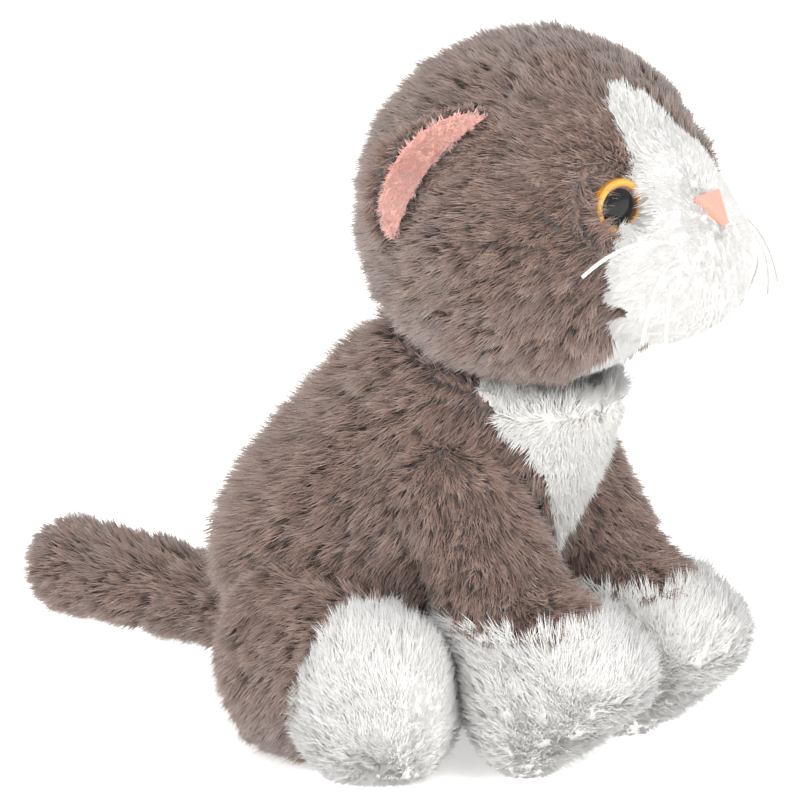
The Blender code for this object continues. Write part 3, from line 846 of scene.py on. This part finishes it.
head_parts = {
    "cheek_right": lambda f, s, u: (f > 60) & (s > 0),
    "cheek_left": lambda f, s, u: (f > 60) & (s <= 0),
    "head_back_right": lambda f, s, u: (f <= 60) & (s > 0),
    "head_back_left": lambda f, s, u: (f <= 60) & (s <= 0),
}
for seed, (word, part) in enumerate(head_parts.items()):
    grow_pile(
        f"pile_{word}", head, "head", TAUPE_PILE,
        lambda f, s, u, part=part: part(f, s, u) & ~white_of_face(f, s, u) & ~in_neck(f, s, u) & ~near_eye(f, s, u),
        head_length, head_nap, 100 + 10 * seed, lean=head_lean,
    )
grow_pile(
    "pile_face", head, "head", WHITE_PILE,
    lambda f, s, u: white_of_face(f, s, u) & ~in_neck(f, s, u) & ~near_eye(f, s, u),
    face_length, head_nap, 150, tufts=0.5, patch=1.4, lean=face_lean, pinch=0.1, stray=0.12, width=0.24, spread=0.3,
    drift=0.15, evenly=0.75,
)


# %% [markdown]
# ## Pile of the torso
# On the body the pile is 8 mm long and runs down and back. Where the head rests on the nape it is pressed flat,
# and so is what lies near the ground.

# %% Torso pile
def in_hollow(forward, side, up):
    return near_limbs(forward, side, up) < 1.8


def body_nap(forward, side, up):
    return np.stack([-0.7 - 0 * up, 0.012 * side, -1.0 - 0 * up])


def body_length(forward, side, up):
    near = near_limbs(forward, side, up)
    length = 8 * np.clip(0.6 + near / 20, 0.6, 1) * np.clip(0.4 + up / 40, 0.4, 1)
    return length * (1 - 0.55 * sat_on(forward, up)) + 4 * along_back(forward, up) * np.clip(near / 12, 0, 1)


def sat_on(forward, up):
    """From 0 to 1 at the foot of the back, where the toy's seat has pressed the pile flat."""
    return np.clip((58 - up) / 26, 0, 1) * np.clip((10 - forward) / 20, 0, 1)


def along_back(forward, up):
    """From 0 to 1 on the upper back, where the pile is long and stands up."""
    return np.clip((up - 52) / 18, 0, 1) * np.clip((22 - forward) / 22, 0, 1)


def body_lean(forward, side, up):
    return 1.2 + 1.4 * sat_on(forward, up) - 0.45 * along_back(forward, up)


def bib_nap(forward, side, up):
    """Down the chest, and upwards where it meets the chin."""
    turn = np.clip((up - 114) / 8, 0, 1)
    return np.stack([-0.7 + 1.0 * turn, 0.012 * side, -1.0 + 1.7 * turn])


def bib_length(forward, side, up):
    return 4.6 + 4.5 * np.clip((up - 114) / 10, 0, 1)


for word, side in SIDES:
    grow_pile(
        f"pile_back_{word}", torso, "torso", TAUPE_PILE,
        lambda f, s, u, side=side: (s * side > 0) & ~white_of_body(f, s, u) & ~in_hollow(f, s, u) & (u > 1.5),
        body_length, body_nap, 200 + 10 * (side + 1), lean=body_lean, tufts=0.21, width=0.34,
    )
grow_pile(
    "pile_bib", torso, "torso", WHITE_PILE,
    lambda f, s, u: white_of_body(f, s, u) & ~in_hollow(f, s, u),
    bib_length, bib_nap, 240, tufts=0.4, patch=1.4, lean=1.3, pinch=0.15, stray=0.12, width=0.26, spread=0.3, evenly=0.2,
)
grow_pile(
    "pile_tail", tail, "tail", TAUPE_PILE,
    lambda f, s, u: f < -50,
    plain(7), lambda f, s, u: np.stack([-1 - 0 * f, 0 * f, 0 * f]), 260,
)

# %% [markdown]
# ## Pile of the legs
# The sleeves are like the body. The white paws are made of a looser plush that is brushed outwards from the
# middle of the paw, so their upper edges look spiky, and the soles are clipped short.


# %% Leg pile
def leg_nap(forward, side, up):
    return np.stack([0.35 + 0 * up, 0.1 * np.sign(side), -1.0 - 0 * up])


def front_paw_length(forward, side, up):
    return (5.5 + 3.5 * np.clip((up - 38) / 12, 0, 1)) * np.clip(0.3 + up / 14, 0.3, 1)


def front_paw_lean(forward, side, up):
    return 1.1 - 0.4 * np.clip((up - 38) / 12, 0, 1)


def hind_paw_length(forward, side, up):
    sole = np.clip((forward - 57) / 3, 0, 1)
    return (5.5 - 2.5 * sole + 2 * np.clip((up - 40) / 12, 0, 1)) * np.clip(0.3 + up / 14, 0.3, 1)


def hind_paw_lean(forward, side, up):
    return 1.0 + 0.6 * np.clip((forward - 57) / 3, 0, 1) - 0.4 * np.clip((up - 40) / 12, 0, 1)


torso_near = [RUMP, CHEST, NAPE]
for word, side in SIDES:
    grow_pile(
        f"pile_sleeve_{word}", legs[f"front_{word}"], f"front_leg_{word}", TAUPE_PILE,
        lambda f, s, u: ~white_of_front_leg(f, s, u) & (clearance(f, s, u, torso_near) > -3),
        plain(7), leg_nap, 300 + side,
    )
    grow_pile(
        f"pile_front_paw_{word}", legs[f"front_{word}"], f"front_leg_{word}", WHITE_PILE,
        lambda f, s, u: white_of_front_leg(f, s, u) & (u > 0.8),
        front_paw_length, lambda f, s, u, side=side: np.stack([f - 80, s - 31 * side, 1.3 * (u + 12)]), 320 + side,
        lean=front_paw_lean, pinch=0.3, stray=0.13, width=0.28, patch=1.6, tufts=0.32, evenly=0.8,
    )
    grow_pile(
        f"pile_thigh_{word}", legs[f"hind_{word}"], f"hind_leg_{word}", TAUPE_PILE,
        lambda f, s, u: ~white_of_hind_leg(f, s, u) & (clearance(f, s, u, torso_near) > -3) & (u > 1.5),
        plain(7), body_nap, 340 + side,
    )
    grow_pile(
        f"pile_hind_paw_{word}", legs[f"hind_{word}"], f"hind_leg_{word}", WHITE_PILE,
        lambda f, s, u: white_of_hind_leg(f, s, u) & (u > 0.8),
        hind_paw_length, lambda f, s, u, side=side: np.stack([0.6 * (f - 44), s - 64 * side, u + 8]), 360 + side,
        lean=hind_paw_lean, pinch=0.2, stray=0.13, width=0.26, patch=1.6, tufts=0.36, evenly=0.8,
    )

# %% [markdown]
# ## Ears
# Each ear is a round flap, folded into the seam of the head, with a thin pink lining in front. The flap and the
# lining are modelled on their own frame, whose X runs along the seam and whose Z is the way the lining faces, and
# what would be inside the head is cut away.

# %% Ears
EAR_TOP, EAR_FOOT, EAR_REACH = (69.5, 44, 225), (44.4, 54, 180), (-0.31, 0.70, 0.64)
EAR_HALF, EAR_HEIGHT, EAR_FOLD = 27, 23, 14


def facing(origin, direction, across):
    """A frame whose Z points along a direction, and whose X lies as near across as it can."""
    z = direction.normalized()
    y = z.cross(across).normalized()
    return Matrix.Translation(origin) @ Matrix((y.cross(z), y, z)).transposed().to_4x4()


def pebble(name, place, size, cup=0.0):
    """A ball squashed to the half sizes given in millimetres, dished by cup, in a frame."""
    bpy.ops.mesh.primitive_uv_sphere_add(segments=64, ring_count=24, radius=1)
    made = bpy.context.object
    made.name = made.data.name = name
    for corner in made.data.vertices:
        x, y, z = corner.co
        corner.co = place @ (Vector((x * size[0], y * size[1], z * size[2] + cup * (x * x + y * y))) * MM)
    made.data.update()
    return made


ears = {}
for word, side in SIDES:
    top, foot = at(*on_side(EAR_TOP, side)), at(*on_side(EAR_FOOT, side))
    reach = at(*on_side(EAR_REACH, side)).normalized()
    along = (top - foot).normalized()
    middle = (top + foot) / 2
    place = facing(middle, along.cross(reach) * side, along)
    folds = [turned(middle, "X", 0)] + [
        Matrix.Translation(middle) @ Matrix.Rotation(radians(a), 4, along) @ Matrix.Translation(-middle)
        for a in (-EAR_FOLD, EAR_FOLD)
    ]
    flap = pebble(f"ear_flap_{word}", place @ Matrix.Translation((0, 0, -1.2 * MM)), (EAR_HALF, EAR_HEIGHT, 1.6))
    combined(flap, soft_form("head_room", [HEAD], RUNNING, turns=folds), "DIFFERENCE")
    evened(flap, 0.9, 3)
    flap.data.materials.append(TAUPE_BACKING)
    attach(flap, f"ear_{word}")
    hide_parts(f"ear_back_{word}")
    lining = pebble(f"ear_lining_pad_{word}", place @ Matrix.Translation((0, 0, 1.0 * MM)), (EAR_HALF - 0.5, EAR_HEIGHT - 1.5, 0.9))
    combined(lining, soft_form("head_room", [HEAD], RUNNING, turns=folds), "DIFFERENCE")
    evened(lining, 0.7, 3)
    lining.data.materials.append(PINK_BACKING)
    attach(lining, f"ear_{word}")
    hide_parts(f"ear_lining_{word}")
    ears[word] = (flap, lining, place)


def ear_columns(place, forward, side, up):
    """Places in an ear's own frame, in millimetres."""
    spots = np.stack([-side, -forward, up], 1) * MM
    turn = np.array(place.to_3x3())
    return ((spots - np.array(place.translation)) @ turn).T / MM


for word, side in SIDES:
    flap, lining, place = ears[word]
    outwards = place.to_3x3()

    def ear_nap(forward, across, up, place=place):
        """Out from the fold, in the plane of the flap."""
        x, y, z = ear_columns(place, forward, across, up)
        ways = np.stack([x / EAR_HALF, y / EAR_HEIGHT, 0 * z], 1) @ np.array(place.to_3x3()).T
        return np.stack([-ways[:, 1], -ways[:, 0], ways[:, 2]])

    def off_lining(forward, across, up, place=place):
        x, y, z = ear_columns(place, forward, across, up)
        return (z < -1.4) | ((x / EAR_HALF) ** 2 + (y / EAR_HEIGHT) ** 2 > 0.86)

    def on_lining(forward, across, up, place=place):
        return ear_columns(place, forward, across, up)[2] > 0.9

    grow_pile(
        f"pile_ear_{word}", flap, f"ear_{word}", TAUPE_PILE, off_lining,
        lambda f, s, u: 8 - 5.5 * np.clip((u - 214) / 10, 0, 1), ear_nap, 400 + side, lean=1.4, patch=1.2, drift=0.1,
        tufts=0.34,
    )
    grow_pile(
        f"pile_lining_{word}", lining, f"ear_{word}", PINK_PILE, on_lining,
        plain(2.2), ear_nap, 410 + side, lean=0.5, patch=1.0, tufts=0.9, fibres=8, width=0.2, pinch=0.05, sink=0.1,
        spread=0.2, evenly=0.8,
    )

# %% [markdown]
# ## Eyes
# An eye is an amber disc with a polished black dome in the middle. Both are turned parts, so each is a cylinder or
# a sphere, flattened and with its edges rounded. The amber is darker towards the pupil, under a clear lacquer.

# %% Eyes
EYE_RADIUS, EYE_RIM = 9.3, 0.8
PUPIL_RADIUS, PUPIL_DOME = 6.3, 1.4
PUPIL_SHIFT = 1.2
SHANK_RADIUS, SHANK_LENGTH = 2.0, 12

AMBER, tree, shader = finish_of("amber_lacquer", Roughness=0.25, Coat_Weight=1.0, Coat_Roughness=0.05)
spot = node(tree, "ShaderNodeUVMap", {"uv_map": "disc"}).outputs["UV"]
radius = node(tree, "ShaderNodeVectorMath", {"operation": "LENGTH"}, _0=spot).outputs["Value"]
streak = node(tree, "ShaderNodeTexNoise", Vector=spot, Scale=60.0, Detail=2.0).outputs["Fac"]
mixed = node(tree, "ShaderNodeMath", {"operation": "MULTIPLY_ADD"}, _0=streak, _1=0.12, _2=radius).outputs["Value"]
tree.links.new(
    ramp(tree, mixed, ((0.76, "5a3208"), (0.84, "c98516"), (0.95, "eab02c"), (1.05, "c88a1a"))), shader.inputs["Base Color"]
)
BLACK, tree, shader = finish_of("polished_black", Base_Color=light_of("0a0909"), Coat_Weight=0.6, Coat_Roughness=0.03)
shader.inputs["Specular IOR Level"].default_value = 0.1
place_node = node(tree, "ShaderNodeTexCoord").outputs["Object"]
haze = node(tree, "ShaderNodeTexNoise", Vector=place_node, Scale=400.0, Detail=2.0).outputs["Fac"]
wear = node(tree, "ShaderNodeMapRange", _0=haze, _3=0.06, _4=0.14).outputs["Result"]
tree.links.new(wear, shader.inputs["Roughness"])


def turned_disc(name, frame_of, radius, low, high, bevel, segments=96):
    """A cylinder along its frame's Z with rounded edges, and a flat map of its face in units of its radius."""
    bpy.ops.mesh.primitive_cylinder_add(vertices=segments, radius=radius * MM, depth=(high - low) * MM)
    made = bpy.context.object
    made.name = made.data.name = name
    made.data.transform(Matrix.Translation((0, 0, (low + high) / 2 * MM)))
    if bevel:
        round_off = made.modifiers.new("round_off", "BEVEL")
        round_off.width = bevel * MM
        round_off.segments = 4
        bpy.ops.object.modifier_apply(modifier=round_off.name)
    layout = made.data.uv_layers.new(name="disc") if not made.data.uv_layers else made.data.uv_layers[0]
    layout.name = "disc"
    for loop in made.data.loops:
        corner = made.data.vertices[loop.vertex_index].co
        layout.data[loop.index].uv = (corner.x / (radius * MM), corner.y / (radius * MM))
    made.data.transform(frame_of)
    made.data.shade_smooth()
    made.data.set_sharp_from_angle(angle=radians(50))
    return made


for word, side in SIDES:
    splay = radians(EYE_SPLAY)
    eye_frame = facing(at(*on_side(EYE, side)), at(cos(splay), side * sin(splay), 0), Vector((1, 0, 0)))
    iris = turned_disc(f"iris_disc_{word}", eye_frame, EYE_RADIUS, -2.5, EYE_RIM, 0.5)
    iris.data.materials.append(AMBER)
    bpy.ops.mesh.primitive_uv_sphere_add(segments=64, ring_count=32, radius=1)
    pupil = bpy.context.object
    pupil.name = pupil.data.name = f"pupil_dome_{word}"
    edit(pupil)
    bpy.ops.mesh.bisect(plane_co=(0, 0, 0), plane_no=(0, 0, -1), use_fill=True, clear_outer=True)
    done()
    squash = Matrix.Diagonal((PUPIL_RADIUS * MM, PUPIL_RADIUS * MM, PUPIL_DOME * MM, 1))
    pupil.data.transform(eye_frame @ Matrix.Translation((-PUPIL_SHIFT * side * MM, 0, (EYE_RIM + 0.1) * MM)) @ squash)
    shank = turned_disc(f"shank_{word}", eye_frame, SHANK_RADIUS, -SHANK_LENGTH, EYE_RIM, 0, 32)
    only(shank, pupil)
    bpy.ops.object.join()
    pupil.data.shade_smooth()
    pupil.data.set_sharp_from_angle(angle=radians(50))
    pupil.data.materials.clear()
    pupil.data.materials.append(BLACK)
    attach(iris, "head")
    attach(pupil, "head")
    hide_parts(f"eye_iris_{word}")
    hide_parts(f"eye_dome_{word}")

WHITE_PLASTIC, tree, shader = finish_of("washer_plastic", Base_Color=light_of("e6e6e2"))
place_node = node(tree, "ShaderNodeTexCoord").outputs["Object"]
haze = node(tree, "ShaderNodeTexNoise", Vector=place_node, Scale=300.0).outputs["Fac"]
tree.links.new(node(tree, "ShaderNodeMapRange", _0=haze, _3=0.42, _4=0.58).outputs["Result"], shader.inputs["Roughness"])
for word, _ in SIDES:
    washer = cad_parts[f"eye_washer_{word}"]
    washer.data.materials.clear()
    washer.data.materials.append(WHITE_PLASTIC)

# %% [markdown]
# ## Nose
# The nose is a small padded triangle of velour, point down. It starts as a three-sided prism, and a remesh with
# plenty of smoothing swells and rounds it as its filling does.

# %% Nose
VELOUR, tree, shader = finish_of("pink_velour", Roughness=0.9, Sheen_Weight=0.6, Sheen_Roughness=0.4)
place_node = node(tree, "ShaderNodeTexCoord").outputs["Object"]
nubs = node(tree, "ShaderNodeTexNoise", Vector=place_node, Scale=2600.0, Detail=3.0).outputs["Fac"]
tree.links.new(ramp(tree, nubs, ((0.3, "d98f7d"), (0.7, "e8a595"))), shader.inputs["Base Color"])
bump = node(tree, "ShaderNodeBump", Strength=0.5, Distance=0.15 * MM, Height=nubs).outputs["Normal"]
tree.links.new(bump, shader.inputs["Normal"])
nose_frame = facing(at(129.8, 3, 193.5), at(0.75, 0, 0.66), Vector((1, 0, 0)))
bpy.ops.mesh.primitive_cylinder_add(vertices=3, radius=8.4 * MM, depth=7 * MM)
nose = bpy.context.object
nose.name = nose.data.name = "nose_velour"
nose.data.transform(nose_frame @ Matrix.Rotation(pi, 4, "Z"))
evened(nose, 0.5, 28)
nose.data.materials.append(VELOUR)
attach(nose, "head")
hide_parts("nose_pad")
print("nose from", [round(x * 1000, 1) for x in nose.bound_box[0]], "to", [round(x * 1000, 1) for x in nose.bound_box[6]])

# %% [markdown]
# ## Thread
# The whiskers are waxed thread of three twisted plies, which shows as a fine slanting ripple.

# %% Thread finish
THREAD, tree, shader = finish_of("waxed_thread", Base_Color=light_of("d3d1cc"), Roughness=0.5)
place_node = node(tree, "ShaderNodeTexCoord").outputs["Object"]
ply = node(tree, "ShaderNodeTexWave", {"bands_direction": "DIAGONAL"}, Vector=place_node, Scale=500.0, Distortion=1.0)
bump = node(tree, "ShaderNodeBump", Strength=0.3, Distance=0.1 * MM, Height=ply.outputs["Fac"]).outputs["Normal"]
tree.links.new(bump, shader.inputs["Normal"])
for thread in whiskers:
    thread.data.materials.append(THREAD)

# %% [markdown]
# ## Light and floor
# Large soft lamps and a bright surround give the even light of a catalogue picture. The cat sits on a light table,
# a white sheet lit from behind, so its undersides are bright and its shadow is faint.

# %% Light and floor
bpy.context.scene.view_settings.view_transform = "Standard"
surround = bpy.data.worlds.new("soft_surround")
surround.use_nodes = True
surround.node_tree.nodes["Background"].inputs["Color"].default_value = light_of("ffffff")
surround.node_tree.nodes["Background"].inputs["Strength"].default_value = 1.0
bpy.context.scene.world = surround


def lamp(name, place, size, power):
    """A square soft lamp that faces the cat."""
    made = bpy.data.lights.new(name, "AREA")
    made.size = size
    made.energy = power
    holder = bpy.data.objects.new(name, made)
    holder.location = place
    holder.rotation_euler = (Vector(place) - at(20, 0, 110)).to_track_quat("Z", "Y").to_euler()
    bpy.context.scene.collection.objects.link(holder)


lamp("key_lamp", (-0.7, -1.2, 1.5), 0.9, 15)
lamp("fill_lamp", (-1.5, 0.6, 1.1), 1.2, 10)
lamp("low_lamp", (-1.1, -1.3, 0.18), 1.0, 7)
bpy.ops.mesh.primitive_plane_add(size=6, location=(0, 0, -0.0005))
floor = bpy.context.object
floor.name = "studio_floor"
bpy.ops.object.transform_apply(location=True, rotation=True, scale=True)
paper, _, _ = finish_of(
    "lit_table", Base_Color=light_of("fcfcfb"), Roughness=0.9, Emission_Color=light_of("ffffff"), Emission_Strength=0.5
)
floor.data.materials.append(paper)

# %% Update the view layer
bpy.context.view_layer.update()
